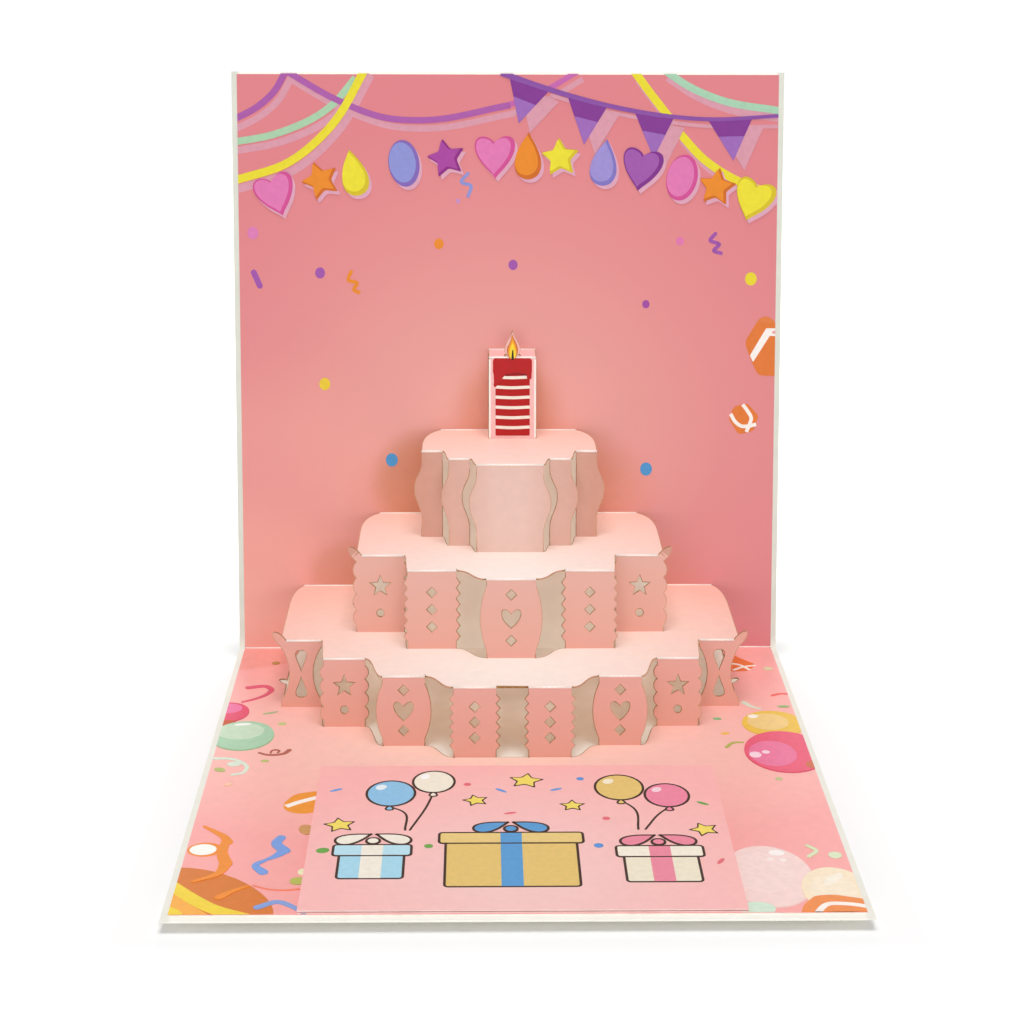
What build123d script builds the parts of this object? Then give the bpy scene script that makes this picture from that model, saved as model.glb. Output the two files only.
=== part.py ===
"""Three-tier cake pop-up card, standing open on its lower panel.

The card is made of three pieces of paper: a folded cover board, one thinner sheet glued
inside it that is cut and folded into the cake, and a small folded note card.

Millimetres. The origin is the middle of the lower panel's underside, +X is to the right,
+Y towards the spine fold and +Z up. Heights of the cake are measured up the back panel
and depths forward from it, because every fold of the cake is parallel to the spine.
"""

import os
from math import cos, pi, radians, sin, tan

from build123d import *

# Cover board and the sheet glued inside it
CARD_WIDTH = 150.0
PANEL_LENGTH = 158.5
OPEN_ANGLE = 100.5
BOARD = 0.5
SHEET = 0.3
SIDE_MARGIN = 1.5
TOP_MARGIN = 0.7
FRONT_MARGIN = 2.0

# Lowest tier
TIER_1_RISE = 17.6
TIER_1_HALF_WIDTH = 59.6
TIER_1_BACK_HALF_WIDTH = 56.8
TIER_1_FRONT_DEPTH = 76.5
TIER_1_SIDE_DEPTH = 43.0
TIER_1_POSTS = 8
TIER_1_POST_WIDTH = 10.6
TIER_1_SPREAD = 58.0

# Middle tier
TIER_2_RISE = 20.3
TIER_2_HALF_WIDTH = 40.2
TIER_2_BACK_HALF_WIDTH = 35.6
TIER_2_FRONT_DEPTH = 56.0
TIER_2_SIDE_DEPTH = 37.0
TIER_2_POSTS = 5
TIER_2_POST_WIDTH = 12.6
TIER_2_SPREAD = 66.0

# Top tier, with wavy strips in place of posts
TIER_3_RISE = 23.1
TIER_3_BACK_HALF_WIDTH = 18.6
TIER_3_FRONT_DEPTH = 34.5
TIER_3_SIDE_DEPTH = 21.5
CENTRE_STRIP = 17.6
SIDE_STRIP = 5.6
STRIP_GAP = 1.7
STRIP_WAVE = 2.0

# Rounded corner where the side of a tier runs into the back panel
SHOULDER = 15.5

# Candle box on the top tier
CANDLE_X = 1.0
CANDLE_RISE = 22.2
CANDLE_WIDTH = 12.8
CANDLE_DEPTH = 9.2
FLAME_HEIGHT = 7.5
FLAME_WIDTH = 4.2
FLAME_NECK = 1.8

# Fretted edges and cut-outs of the posts
EDGE_PLAIN = 1.8
TEETH = 6
TOOTH = 1.0
SCALLOPS = 4
SCALLOP = 0.9
WAIST = 2.2
BULGE = 1.6
HEART = 4.8
STAR = 5.4
DROP = 5.2
DIAMOND = 2.6
DOT = 1.9
LEAF_LENGTH = 5.6
LEAF_WIDTH = 2.4
LEAF_TURN = 48.0

# Note card
NOTE_WIDTH = 95.0
NOTE_DEPTH = 74.5
NOTE_FROM_FOLD = 81.4
NOTE_X = 1.0
NOTE_PAPER = 0.3
NOTE_LIFT = 0.2

# The back panel leans back by what the card is opened past a right angle.
LEAN = radians(OPEN_ANGLE - 90.0)
MITRE = SHEET / tan(radians(OPEN_ANGLE / 2))
FOLD_Y = PANEL_LENGTH / 2
PRINT_FOLD_Y = FOLD_Y - MITRE
PRINT_Z = BOARD + SHEET
FRONT_NORMAL = (0, -cos(LEAN), sin(LEAN))
CUT_DEPTH = 4 * SHEET


def up_back(start_y, start_z, length, outward=0.0):
    """Point in the side view, length up the back panel's slope and outward behind it."""
    y = start_y + length * sin(LEAN) + outward * cos(LEAN)
    z = start_z + length * cos(LEAN) - outward * sin(LEAN)
    return y, z


def across(profile, width, centre=0.0):
    """Solid of one side-view profile, given as edges in (y, z), right across the card."""
    side_view = Plane(origin=(centre, 0, 0), x_dir=(0, 1, 0), z_dir=(1, 0, 0))
    return extrude(side_view * make_face(profile), amount=width / 2, both=True)


def level_plane(height):
    """Plane of a tier top or of the base print; its y runs back from the back fold."""
    y, z = up_back(PRINT_FOLD_Y, PRINT_Z, height)
    return Plane(origin=(0, y, z), x_dir=(1, 0, 0), z_dir=(0, 0, 1))


def upright_plane(height, depth):
    """Plane of a post that stands at a depth on the surface at a height."""
    y, z = up_back(PRINT_FOLD_Y, PRINT_Z, height)
    return Plane(origin=(0, y - depth, z), x_dir=(1, 0, 0), z_dir=FRONT_NORMAL)


def cover():
    """Folded board with a rounded spine, bare inside and out."""
    front = -FOLD_Y
    spine_outer = up_back(FOLD_Y, BOARD, 0, BOARD)
    half_way = pi / 4 + LEAN / 2
    spine_middle = (FOLD_Y + BOARD * cos(half_way), BOARD - BOARD * sin(half_way))
    top_outer = up_back(FOLD_Y, BOARD, PANEL_LENGTH, BOARD)
    top_inner = up_back(FOLD_Y, BOARD, PANEL_LENGTH)
    profile = [
        Line((front, 0), (FOLD_Y, 0)),
        ThreePointArc((FOLD_Y, 0), spine_middle, spine_outer),
        *Polyline(spine_outer, top_outer, top_inner, (FOLD_Y, BOARD), (front, BOARD), (front, 0)).edges(),
    ]
    return across(profile, CARD_WIDTH)


class Tier:
    """One storey of the cake: where it stands, its plan and where its posts meet the folds."""

    def __init__(self, foot, rise, half_width, back_half_width, front_depth, side_depth, posts):
        self.foot = foot
        self.rise = rise
        self.top = foot + rise
        self.half_width = half_width
        self.back_half_width = back_half_width
        self.front_depth = front_depth
        self.side_depth = side_depth
        self.posts = posts

    def depth_at(self, x):
        """Depth of the fold at x: a parabola from the front to the outermost post."""
        outermost = self.posts[-1][0]
        return self.front_depth - (self.front_depth - self.side_depth) * (x / outermost) ** 2

    def front_edge(self):
        """Straight folds at the posts, joined by curves that leave and meet them level."""
        edges = []
        end = None
        for x, width in self.posts:
            depth = self.depth_at(x)
            start = (x - width / 2, -depth)
            if end:
                middle = (end[0] + start[0]) / 2
                edges.append(Bezier(end, (middle, end[1]), (middle, start[1]), start))
            end = (x + width / 2, -depth)
            edges.append(Line(start, end))
        return edges

    def shoulder(self, base, side):
        """Curve from the straight side of a tier in to its back fold, in plan or on the back panel."""
        outer = side * self.half_width
        inner = side * self.back_half_width
        return Bezier((outer, base - SHOULDER), (outer, base - SHOULDER / 4), (inner, base))

    def plate(self):
        """Plan of the tier top, from the front folds to just past the back fold."""
        half, back = self.half_width, self.back_half_width
        side = -self.side_depth
        behind = [(back, 0), (back, MITRE), (-back, MITRE), (-back, 0)]
        return make_face(
            [
                *self.front_edge(),
                Line((half, side), (half, -SHOULDER)),
                self.shoulder(0, 1),
                *Polyline(*behind).edges(),
                self.shoulder(0, -1),
                Line((-half, -SHOULDER), (-half, side)),
            ]
        )

    def lower_hole(self):
        """What the tier leaves cut out of the surface it stands on, open to the back fold."""
        half, side = self.half_width, -self.side_depth
        behind = [(half, side), (half, CUT_DEPTH), (-half, CUT_DEPTH), (-half, side)]
        return Pos(0, MITRE) * make_face([*self.front_edge(), *Polyline(*behind).edges()])

    def back_hole(self):
        """What the tier leaves cut out of the back panel, up to its own back fold."""
        half, back = self.half_width, self.back_half_width
        low = self.foot - MITRE if self.foot else -CUT_DEPTH
        high = self.top - MITRE
        return make_face(
            [
                *Polyline((-half, high - SHOULDER), (-half, low), (half, low), (half, high - SHOULDER)).edges(),
                self.shoulder(high, 1),
                Line((back, high), (-back, high)),
                self.shoulder(high, -1),
            ]
        )


def spread_posts(count, half_width, width, spread):
    """Centres of equal posts set at equal angles round the front of a tier."""
    reach = half_width - width / 2
    step = 2 * spread / (count - 1)
    turns = [radians(step * i - spread) for i in range(count)]
    return [(reach * sin(turn) / sin(radians(spread)), width) for turn in turns]


def strip_posts():
    """Centres and widths of the wavy strips, from left to right."""
    inner = CENTRE_STRIP / 2 + STRIP_GAP + SIDE_STRIP / 2
    outer = inner + STRIP_GAP + SIDE_STRIP
    sides = [(x, SIDE_STRIP) for x in (inner, outer)]
    return [(-x, width) for x, width in reversed(sides)] + [(0, CENTRE_STRIP)] + sides


def heart(size):
    """Heart on its point."""
    right = Bezier((0, -size / 2), (size * 0.85, size * 0.15), (size * 0.45, size * 0.85), (0, size * 0.22))
    return make_face([right, mirror(right, Plane.YZ)])


def drop(size):
    """Drop with its point up."""
    right = Bezier((0, size / 2), (size * 0.1, size * 0.1), (size * 0.55, -size / 2), (0, -size / 2))
    return make_face([right, mirror(right, Plane.YZ)])


def diamond(size):
    """Upright lozenge."""
    return Rot(0, 0, 45) * Rectangle(size / 2**0.5, size / 2**0.5)


def star(size):
    """Five-pointed star."""
    radii = (size / 2, size / 4.6)
    turns = [radians(90 + 36 * i) for i in range(10)]
    return Polygon(*[(radii[i % 2] * cos(t), radii[i % 2] * sin(t)) for i, t in enumerate(turns)], align=None)


def both_sides(x, rise, right_edge):
    """Post mirrored about its centre line, with a given edge on the right."""
    half = make_face(
        [
            *Polyline((x, rise), (0, rise), (0, -MITRE), (x, -MITRE)).edges(),
            Line((x, -MITRE), (x, EDGE_PLAIN)),
            *right_edge,
            Line((x, rise - EDGE_PLAIN), (x, rise)),
        ]
    )
    return half + mirror(half, Plane.YZ)


def toothed_post(width, rise):
    """Post with saw-tooth edges and a column of lozenges."""
    x = width / 2
    pitch = (rise - 2 * EDGE_PLAIN) / TEETH
    points = [(x, EDGE_PLAIN)]
    for i in range(TEETH):
        points.append((x + TOOTH, EDGE_PLAIN + (i + 0.5) * pitch))
        points.append((x, EDGE_PLAIN + (i + 1) * pitch))
    post = both_sides(x, rise, Polyline(*points).edges())
    return post - [Pos(0, rise * share) * diamond(DIAMOND) for share in (0.28, 0.5, 0.72)]


def scalloped_post(width, rise):
    """Post with scalloped edges, a star and a dot."""
    x = width / 2
    pitch = (rise - 2 * EDGE_PLAIN) / SCALLOPS
    arcs = []
    for i in range(SCALLOPS):
        low = EDGE_PLAIN + i * pitch
        arcs.append(ThreePointArc((x, low), (x + SCALLOP, low + pitch / 2), (x, low + pitch)))
    post = both_sides(x, rise, arcs)
    return post - Pos(0, rise * 0.6) * star(STAR) - Pos(0, rise * 0.25) * Circle(DOT / 2)


def waisted_post(width, rise):
    """Post drawn in at the middle, with two drops."""
    x = width / 2
    arc = ThreePointArc((x, EDGE_PLAIN), (x - WAIST, rise / 2), (x, rise - EDGE_PLAIN))
    post = both_sides(x, rise, [arc])
    upper = Pos(0, rise * 0.7) * Rot(0, 0, 180) * drop(DROP)
    return post - upper - Pos(0, rise * 0.3) * drop(DROP)


def bulged_post(width, rise):
    """Post swelling at the middle, with a heart between two lozenges."""
    x = width / 2
    arc = ThreePointArc((x, EDGE_PLAIN), (x + BULGE, rise / 2), (x, rise - EDGE_PLAIN))
    post = both_sides(x, rise, [arc])
    lozenges = [Pos(0, rise * share) * diamond(DIAMOND) for share in (0.22, 0.8)]
    return post - Pos(0, rise / 2) * heart(HEART) - lozenges


def leaf(width, rise, side):
    """Leaf on the outer top corner of an end post, standing past the fold."""
    return Pos(side * width / 2, rise) * Rot(0, 0, side * LEAF_TURN) * Ellipse(LEAF_LENGTH / 2, LEAF_WIDTH / 2)


def fretted_faces(tier, styles):
    """Flat shapes of a tier's posts, styled alike from both ends inwards, with leaves at the ends."""
    faces = []
    last = len(tier.posts) - 1
    for i, (x, width) in enumerate(tier.posts):
        face = styles[min(i, last - i)](width, tier.rise)
        if i in (0, last):
            face += leaf(width, tier.rise, -1 if i == 0 else 1)
        faces.append(face)
    return faces


def wavy_edge(x, rise, wave):
    """Edge of a strip that swings out by wave once, above its middle."""
    low, crest, high = rise * 0.2, rise * 0.56, rise * 0.88
    pull = rise * 0.15
    return [
        Line((x, -MITRE), (x, low)),
        Bezier((x, low), (x, low + pull), (x + wave, crest - pull), (x + wave, crest)),
        Bezier((x + wave, crest), (x + wave, crest + pull), (x, high - pull), (x, high)),
        Line((x, high), (x, rise)),
    ]


def strip_faces(tier):
    """Flat shapes of the wavy strips: each edge swings outwards, but the innermost of the end strips."""
    faces = []
    last = len(tier.posts) - 1
    for i, (x, width) in enumerate(tier.posts):
        left_wave = -STRIP_WAVE if x <= 0 else STRIP_WAVE
        right_wave = -STRIP_WAVE if x < 0 else STRIP_WAVE
        if i == 0:
            right_wave = 0
        if i == last:
            left_wave = 0
        half = width / 2
        faces.append(
            make_face(
                [
                    *wavy_edge(-half, tier.rise, left_wave),
                    *wavy_edge(half, tier.rise, right_wave),
                    Line((-half, -MITRE), (half, -MITRE)),
                    Line((-half, tier.rise), (half, tier.rise)),
                ]
            )
        )
    return faces


def flame():
    """Flame standing on a narrow neck, with its foot at the origin."""
    side = Bezier(
        (FLAME_NECK / 2, 0),
        (FLAME_WIDTH * 0.95, FLAME_HEIGHT * 0.3),
        (FLAME_WIDTH * 0.12, FLAME_HEIGHT * 0.62),
        (0, FLAME_HEIGHT),
    )
    return make_face([side, mirror(side, Plane.YZ), Line((-FLAME_NECK / 2, 0), (FLAME_NECK / 2, 0))])


def stand(faces, tier):
    """Posts of a tier, each extruded back from its printed face."""
    solids = []
    for face, (x, width) in zip(faces, tier.posts):
        plane = upright_plane(tier.foot, tier.depth_at(x))
        solids.append(extrude(plane * Pos(x, 0) * face, amount=-SHEET))
    return solids


def leaf_holes(tier):
    """Where the leaves of the end posts were cut from, on the surface behind their feet."""
    holes = []
    for side in (-1, 1):
        x, width = tier.posts[0 if side < 0 else -1]
        holes.append(Pos(x, -tier.side_depth) * leaf(width, tier.rise, side))
    return holes


def candle(tier):
    """Candle box: its top with the flame's slot, and its front with the flame standing on it."""
    top = Pos(CANDLE_X, (MITRE - CANDLE_DEPTH) / 2) * Rectangle(CANDLE_WIDTH, CANDLE_DEPTH + MITRE)
    top -= Pos(CANDLE_X, -CANDLE_DEPTH) * flame()
    front = Pos(CANDLE_X, (CANDLE_RISE - MITRE) / 2) * Rectangle(CANDLE_WIDTH, CANDLE_RISE + MITRE)
    front += Pos(CANDLE_X, CANDLE_RISE) * flame()
    return [
        extrude(level_plane(tier.top + CANDLE_RISE) * top, amount=-SHEET),
        extrude(upright_plane(tier.top, CANDLE_DEPTH) * front, amount=-SHEET),
    ]


def candle_holes(tier):
    """What the candle box leaves cut out of the top tier and of the back panel."""
    lower_length = CANDLE_DEPTH + CUT_DEPTH
    lower = Pos(CANDLE_X, MITRE - CANDLE_DEPTH + lower_length / 2) * Rectangle(CANDLE_WIDTH, lower_length)
    back = Pos(CANDLE_X, tier.top - MITRE + CANDLE_RISE / 2) * Rectangle(CANDLE_WIDTH, CANDLE_RISE)
    return lower, back


def folded_panels():
    """The sheet's base and back panels before cutting, folded at the spine."""
    front = FRONT_MARGIN - FOLD_Y
    length = PANEL_LENGTH - TOP_MARGIN
    top_outer = up_back(FOLD_Y, BOARD, length)
    top_inner = up_back(FOLD_Y, BOARD, length, -SHEET)
    print_fold = (PRINT_FOLD_Y, PRINT_Z)
    points = [(front, BOARD), (FOLD_Y, BOARD), top_outer, top_inner, print_fold, (front, PRINT_Z), (front, BOARD)]
    return across(Polyline(*points).edges(), CARD_WIDTH - 2 * SIDE_MARGIN)


def cut_through(plane, faces):
    """Cutters right through the sheet that lies behind a printed plane."""
    return [extrude(plane * Pos(0, 0, CUT_DEPTH) * face, amount=-2 * CUT_DEPTH) for face in faces]


def popup_sheet():
    """The printed sheet: panels, tiers and candle, all cut and folded from one piece."""
    tier_1 = Tier(
        0, TIER_1_RISE, TIER_1_HALF_WIDTH, TIER_1_BACK_HALF_WIDTH, TIER_1_FRONT_DEPTH, TIER_1_SIDE_DEPTH,
        spread_posts(TIER_1_POSTS, TIER_1_HALF_WIDTH, TIER_1_POST_WIDTH, TIER_1_SPREAD),
    )
    tier_2 = Tier(
        tier_1.top, TIER_2_RISE, TIER_2_HALF_WIDTH, TIER_2_BACK_HALF_WIDTH, TIER_2_FRONT_DEPTH, TIER_2_SIDE_DEPTH,
        spread_posts(TIER_2_POSTS, TIER_2_HALF_WIDTH, TIER_2_POST_WIDTH, TIER_2_SPREAD),
    )
    strips = strip_posts()
    strip_half_width = strips[-1][0] + SIDE_STRIP / 2
    tier_3 = Tier(
        tier_2.top, TIER_3_RISE, strip_half_width, TIER_3_BACK_HALF_WIDTH, TIER_3_FRONT_DEPTH, TIER_3_SIDE_DEPTH,
        strips,
    )
    candle_lower, candle_back = candle_holes(tier_3)

    back_plane = upright_plane(0, 0)
    back_holes = [tier.back_hole() for tier in (tier_1, tier_2, tier_3)] + [candle_back]
    sheet = folded_panels()
    sheet -= cut_through(level_plane(0), [tier_1.lower_hole(), *leaf_holes(tier_1)])
    sheet -= cut_through(back_plane, back_holes)

    plates = [
        tier_1.plate() - tier_2.lower_hole() - leaf_holes(tier_2),
        tier_2.plate() - tier_3.lower_hole(),
        tier_3.plate() - candle_lower,
    ]
    tiers = (tier_1, tier_2, tier_3)
    tops = [extrude(level_plane(tier.top) * plate, amount=-SHEET) for tier, plate in zip(tiers, plates)]

    lower_styles = (waisted_post, scalloped_post, bulged_post, toothed_post)
    middle_styles = (scalloped_post, toothed_post, bulged_post)
    uprights = stand(fretted_faces(tier_1, lower_styles), tier_1)
    uprights += stand(fretted_faces(tier_2, middle_styles), tier_2)
    uprights += stand(strip_faces(tier_3), tier_3)
    return sheet + tops + uprights + candle(tier_3)


def note_card():
    """Small card folded at its back edge, its back leaf flat on the base and its front leaf sprung up."""
    back = PRINT_FOLD_Y - NOTE_FROM_FOLD
    front = back - NOTE_DEPTH
    low, paper, lift = PRINT_Z, NOTE_PAPER, NOTE_LIFT
    fold_start = (back - paper, low)
    fold_end = (back - paper, low + 2 * paper)
    profile = [
        Line((front, low), fold_start),
        ThreePointArc(fold_start, (back, low + paper), fold_end),
        *Polyline(
            fold_end,
            (front, low + 2 * paper + lift),
            (front, low + paper + lift),
            (back - paper, low + paper),
            (front, low + paper),
            (front, low),
        ).edges(),
    ]
    return across(profile, NOTE_WIDTH, NOTE_X)


os.makedirs("parts", exist_ok=True)
for name, piece in {"cover": cover(), "popup_sheet": popup_sheet(), "note_card": note_card()}.items():
    export_step(piece, f"parts/{name}.step")
    print(name, len(piece.solids()), "solid", round(piece.volume, 1), "mm3")
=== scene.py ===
# %% [markdown]
# # A pop-up card with a three-tier paper cake
# The object is a greeting card that stands open on its lower panel. One printed sheet is cut and folded
# into a cake with three tiers and a candle, a cream cover board is glued behind it, and a small note card
# lies in front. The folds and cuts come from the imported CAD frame. This lesson gives each of them the
# finish of real paper: coated print, bare backs, browned laser cuts, cracked fold lines and layers of ink.

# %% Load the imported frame
from math import acos, atan2, cos, degrees, pi, radians, sin, tan

import bmesh
import bpy
from mathutils import Matrix, Vector
from mathutils.geometry import interpolate_bezier


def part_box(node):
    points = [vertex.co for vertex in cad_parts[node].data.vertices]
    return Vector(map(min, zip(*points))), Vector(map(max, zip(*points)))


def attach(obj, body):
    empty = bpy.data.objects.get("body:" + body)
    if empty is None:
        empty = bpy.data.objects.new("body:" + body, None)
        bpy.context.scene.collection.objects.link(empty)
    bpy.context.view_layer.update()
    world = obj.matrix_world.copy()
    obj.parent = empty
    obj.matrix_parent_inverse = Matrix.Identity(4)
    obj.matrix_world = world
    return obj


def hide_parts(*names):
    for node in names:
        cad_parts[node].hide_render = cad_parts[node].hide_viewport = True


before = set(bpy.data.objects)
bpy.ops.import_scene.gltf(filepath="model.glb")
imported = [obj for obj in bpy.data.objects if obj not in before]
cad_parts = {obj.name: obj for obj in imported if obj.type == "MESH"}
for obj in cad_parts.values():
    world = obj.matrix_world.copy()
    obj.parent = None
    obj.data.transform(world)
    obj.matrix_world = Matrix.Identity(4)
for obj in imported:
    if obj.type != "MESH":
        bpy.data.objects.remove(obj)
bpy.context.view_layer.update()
scene = bpy.context.scene
MM = 0.001

# %% [markdown]
# ## Where the folds are
# Every fold of this cake is parallel to the spine, and every surface is either level, like the base, or
# leans back with the back panel. So two directions and the printed fold line place all the print. They are
# measured from the frame, not typed in, so the ink lies on the paper as it was packed.

# %% Measure the lean of the back panel and the printed fold line
BOARD = 0.5 * MM
SHEET = 0.3 * MM
cover_low, cover_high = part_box("cover")
note_low, note_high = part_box("note_card")
half_panel = -cover_low.y
lean = acos((cover_high.z - BOARD) / (2 * half_panel))
UP_BACK = Vector((0, sin(lean), cos(lean)))
FACING = Vector((0, -cos(lean), sin(lean)))
print_fold = Vector((0, half_panel - SHEET / tan(pi / 4 + lean / 2), note_low.z))
print("lean", round(degrees(lean), 2), "degrees, printed fold at", [round(v / MM, 2) for v in print_fold])

# %% [markdown]
# ## Camera
# The photograph looks slightly down at the card from in front, a little to the left of its middle. A long
# lens of 75 mm keeps the back panel nearly square. The tilt is built up from three plain turns.

# %% Set the camera
YAW, PITCH, ROLL = radians(0.945), radians(17.3), radians(0.204)
CAMERA_PLACE = Vector((-8.29, -479.96, 214.6)) * MM
forward = Vector((sin(YAW) * cos(PITCH), cos(YAW) * cos(PITCH), -sin(PITCH)))
right = Vector((cos(YAW), -sin(YAW), 0))
above = right.cross(forward)
camera_right = right * cos(ROLL) + above * sin(ROLL)
camera_up = above * cos(ROLL) - right * sin(ROLL)


def new_object(name, data):
    """Object with some data, in the scene."""
    thing = bpy.data.objects.new(name, data)
    scene.collection.objects.link(thing)
    return thing


camera = new_object("camera", bpy.data.cameras.new("camera"))
camera.data.sensor_width = 36
camera.data.lens = 75.07
camera.data.clip_start = 10 * MM
turned = Matrix((camera_right, camera_up, -forward)).transposed().to_4x4()
camera.matrix_world = Matrix.Translation(CAMERA_PLACE) @ turned
scene.camera = camera
print("camera looks down", round(degrees(PITCH), 1), "degrees")

# %% [markdown]
# ## Paper finishes
# Real card is never one colour: the coating mottles the print by a few percent and the fibres give it a
# fine tooth that catches the light. One helper makes that tooth for every paper here. A soft Noise at about
# 3 mm mottles the colour, and a fine Noise at about 0.3 mm drives the bump. All of it reads Object
# coordinates, which are metres in the frame, so the grain has its real size.

# %% Helpers for paper materials
FIBRES = 3200
FIBRE_RELIEF = 0.03 * MM
PRINT_MOTTLE = 420
PRINT_ROUGHNESS = 0.5


def screen_colour(code):
    """Linear colour for a code written as it looks on screen."""
    parts = [part / 255 for part in bytes.fromhex(code[1:])]
    return [c / 12.92 if c <= 0.04045 else ((c + 0.055) / 1.055) ** 2.4 for c in parts] + [1]


def add_node(tree, kind, values=None):
    """New node with some of its inputs set."""
    node = tree.nodes.new(kind)
    for name, value in (values or {}).items():
        node.inputs[name].default_value = value
    return node


def map_range(tree, value, low, high, least=0, most=1, easing="LINEAR"):
    """A value between two limits, spread between the least and the most."""
    limits = {"From Min": low, "From Max": high, "To Min": least, "To Max": most}
    node = add_node(tree, "ShaderNodeMapRange", limits)
    node.interpolation_type = easing
    tree.links.new(value, node.inputs["Value"])
    return node.outputs["Result"]


class Finish:
    """A paper material: a Principled shader, Object coordinates and a fine tooth."""

    def __init__(self, name, roughness, tooth=0.12, gloss=0.35):
        self.material = bpy.data.materials.new(name)
        self.material.use_nodes = True
        self.tree = self.material.node_tree
        self.shader = self.tree.nodes["Principled BSDF"]
        self.shader.inputs["Roughness"].default_value = roughness
        self.shader.inputs["Specular IOR Level"].default_value = gloss
        self.place = self.add("ShaderNodeTexCoord").outputs["Object"]
        bump = self.add("ShaderNodeBump", {"Strength": tooth, "Distance": FIBRE_RELIEF})
        self.link(self.noise(FIBRES, 3), bump.inputs["Height"])
        self.link(bump.outputs["Normal"], self.shader.inputs["Normal"])

    def add(self, kind, values=None):
        return add_node(self.tree, kind, values)

    def link(self, output, target):
        self.tree.links.new(output, target)

    def noise(self, scale, detail):
        """Soft noise; the scale is the number of its blotches in a metre."""
        node = self.add("ShaderNodeTexNoise", {"Scale": scale, "Detail": detail})
        self.link(self.place, node.inputs["Vector"])
        return node.outputs["Fac"]

    def ramp(self, factor, stops):
        """Colour ramp of (position, colour code) stops."""
        node = self.add("ShaderNodeValToRGB")
        elements = node.color_ramp.elements
        while len(elements) < len(stops):
            elements.new(0.5)
        for element, (position, code) in zip(elements, stops):
            element.position = position
            element.color = screen_colour(code)
        self.link(factor, node.inputs["Fac"])
        return node.outputs["Color"]

    def wavering(self, dark, light, scale=PRINT_MOTTLE, detail=5, spread=0.2):
        """Colour that wavers between a dark and a light tone."""
        return self.ramp(self.noise(scale, detail), [(0.5 - spread, dark), (0.5 + spread, light)])

    def distance_from(self, centre, reach):
        """0 at a centre point and 1 at the reach of an ellipsoid round it, both in millimetres."""
        ellipsoid = {"Location": [v * MM for v in centre], "Scale": [v * MM for v in reach]}
        mapping = self.add("ShaderNodeMapping", ellipsoid)
        mapping.vector_type = "TEXTURE"
        self.link(self.place, mapping.inputs["Vector"])
        length = self.add("ShaderNodeVectorMath")
        length.operation = "LENGTH"
        self.link(mapping.outputs["Vector"], length.inputs[0])
        return length.outputs["Value"]

    def along(self, axis, low, high):
        """0 at one place on an axis and 1 at another, both in millimetres."""
        parts = self.add("ShaderNodeSeparateXYZ")
        self.link(self.place, parts.inputs[0])
        return map_range(self.tree, parts.outputs[axis], low * MM, high * MM)

    def blend(self, colour, other, factor=None, mode="MIX"):
        """Lays another colour over a first one, in full where no factor is given."""
        node = self.add("ShaderNodeMix", {"Factor": 1.0})
        node.data_type = "RGBA"
        node.blend_type = mode
        if factor is not None:
            self.link(factor, node.inputs["Factor"])
        self.link(colour, node.inputs["A"])
        self.link(other, node.inputs["B"])
        return node.outputs["Result"]

    def paint(self, colour):
        self.link(colour, self.shader.inputs["Base Color"])
        return self.material


def plain_paper(name, light, dark, roughness=0.6, mottle=320, tooth=0.12, gloss=0.35):
    """Paper of one colour that wavers between a light and a dark tone."""
    finish = Finish(name, roughness, tooth, gloss)
    return finish.paint(finish.wavering(dark, light, mottle, detail=4, spread=0.15))


def glowing_print(name, tones, centre, reach):
    """Print that fades outwards from a centre through tones, each at its own share of the reach."""
    finish = Finish(name, PRINT_ROUGHNESS)
    fade = finish.ramp(finish.distance_from(centre, reach), tones)
    return finish.paint(finish.blend(fade, finish.wavering("#FAFAFA", "#FFFFFF"), mode="MULTIPLY"))


print("paper helpers ready")

# %% [markdown]
# ## The finishes of the printed sheet
# The base is a coral pink that pales to peach round the cake, the tier tops are light peach and the posts
# fade from rose at the top to salmon at the foot. The tier tops deepen towards their ends and their back
# folds, partly print and partly painted shade, and the strips of the top tier darken away from the middle
# one as painted shade. The back panel has more than one fade: its print grows lighter behind the candle,
# painted bounce light lightens its lower left corner, and soft orange patches beside the tiers and the
# candle are painted shade. Each fade is a distance from a centre, so three numbers place it. The back of the
# sheet is bare white. A laser cut the outlines, so those edges are browned, but the outside of the sheet was
# trimmed with a blade and is white.

# %% Make the sheet's materials
PATCH_CORE = 0.5


def faded_print(name, foot, head, low, high):
    """Print that fades from one tone at a height to another higher up, in millimetres."""
    finish = Finish(name, PRINT_ROUGHNESS)
    return finish.paint(finish.ramp(finish.along("Z", low, high), [(0, foot), (1, head)]))


def back_print_and_shade():
    """Coral print, lighter in its middle; painted bounce light at a corner, painted shade by the cake."""
    finish = Finish("back_print_and_shade", PRINT_ROUGHNESS)
    fade = finish.distance_from((-4, 94, 56), (100, 60, 95))
    colour = finish.ramp(fade, [(0.2, "#E29F96"), (0.65, "#DC8889"), (1, "#D77D83")])
    # Painted shade beside the tiers and the candle; painted bounce light from the base at the lower left
    # corner.
    painted_warm_shade = finish.wavering("#D08268", "#D2866D")
    painted_deep_shade = finish.wavering("#BF774F", "#C27B53")
    painted_bounce_light = finish.wavering("#EEA597", "#EFA798")
    for tone, most, centre, reach in [
        (painted_bounce_light, 0.35, (-66, 82, 28), (56, 60, 62)),
        (painted_bounce_light, 0.5, (-76, 80, 6), (46, 60, 44)),
        (painted_bounce_light, 0.6, (-76, 80, 2), (30, 60, 26)),
        (painted_warm_shade, 0.85, (0, 88, 16), (62, 60, 30)),
        (painted_warm_shade, 0.85, (0, 88, 44), (47, 60, 24)),
        (painted_warm_shade, 0.7, (0, 96, 66), (18, 60, 17)),
        (painted_deep_shade, 0.55, (-25, 92, 46), (15, 60, 17)),
        (painted_deep_shade, 0.35, (-45, 86, 22), (13, 60, 10.5)),
    ]:
        away = finish.distance_from(centre, reach)
        near = map_range(finish.tree, away, 1, PATCH_CORE, most=most, easing="SMOOTHSTEP")
        colour = finish.blend(colour, tone, near)
    return finish.paint(colour)


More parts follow.
